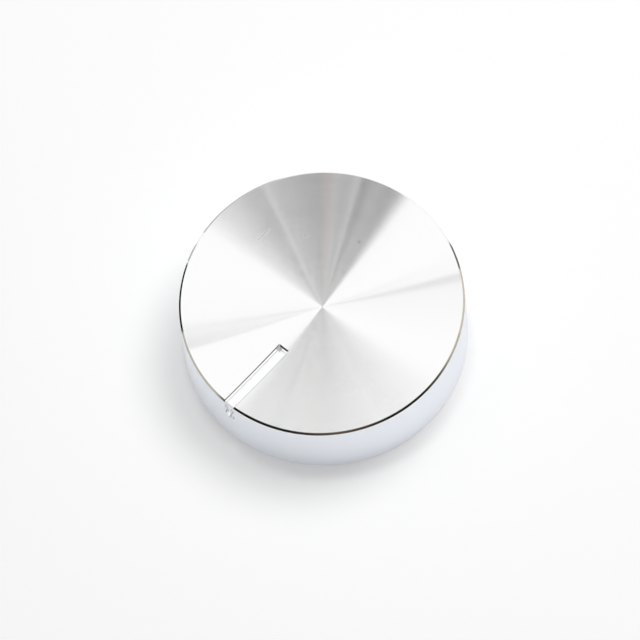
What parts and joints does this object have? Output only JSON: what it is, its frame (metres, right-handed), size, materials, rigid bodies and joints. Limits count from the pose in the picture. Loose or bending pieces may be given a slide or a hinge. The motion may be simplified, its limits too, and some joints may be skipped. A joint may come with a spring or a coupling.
{
  "type": "control knob",
  "caption": "Low turned metal control knob with a dished spun face, bright rim chamfer, milled pointer slot and a blind shaft bore clamped by a set screw.",
  "frame": {"origin": "middle of the underside, on the knob's axis", "axes": "+Z along the knob's axis towards the dished face, -Y towards the pointer, +Y towards the set screw"},
  "size_m": [0.04, 0.04, 0.0115],
  "materials": {
    "turned_aluminium": "spun face, mirror-cut rim chamfer, satin side",
    "screw_steel": "plain machined steel"
  },
  "bodies": {
    "root": {"knob_body": "turned_aluminium", "grub_screw": "screw_steel"}
  },
  "joints": []
}
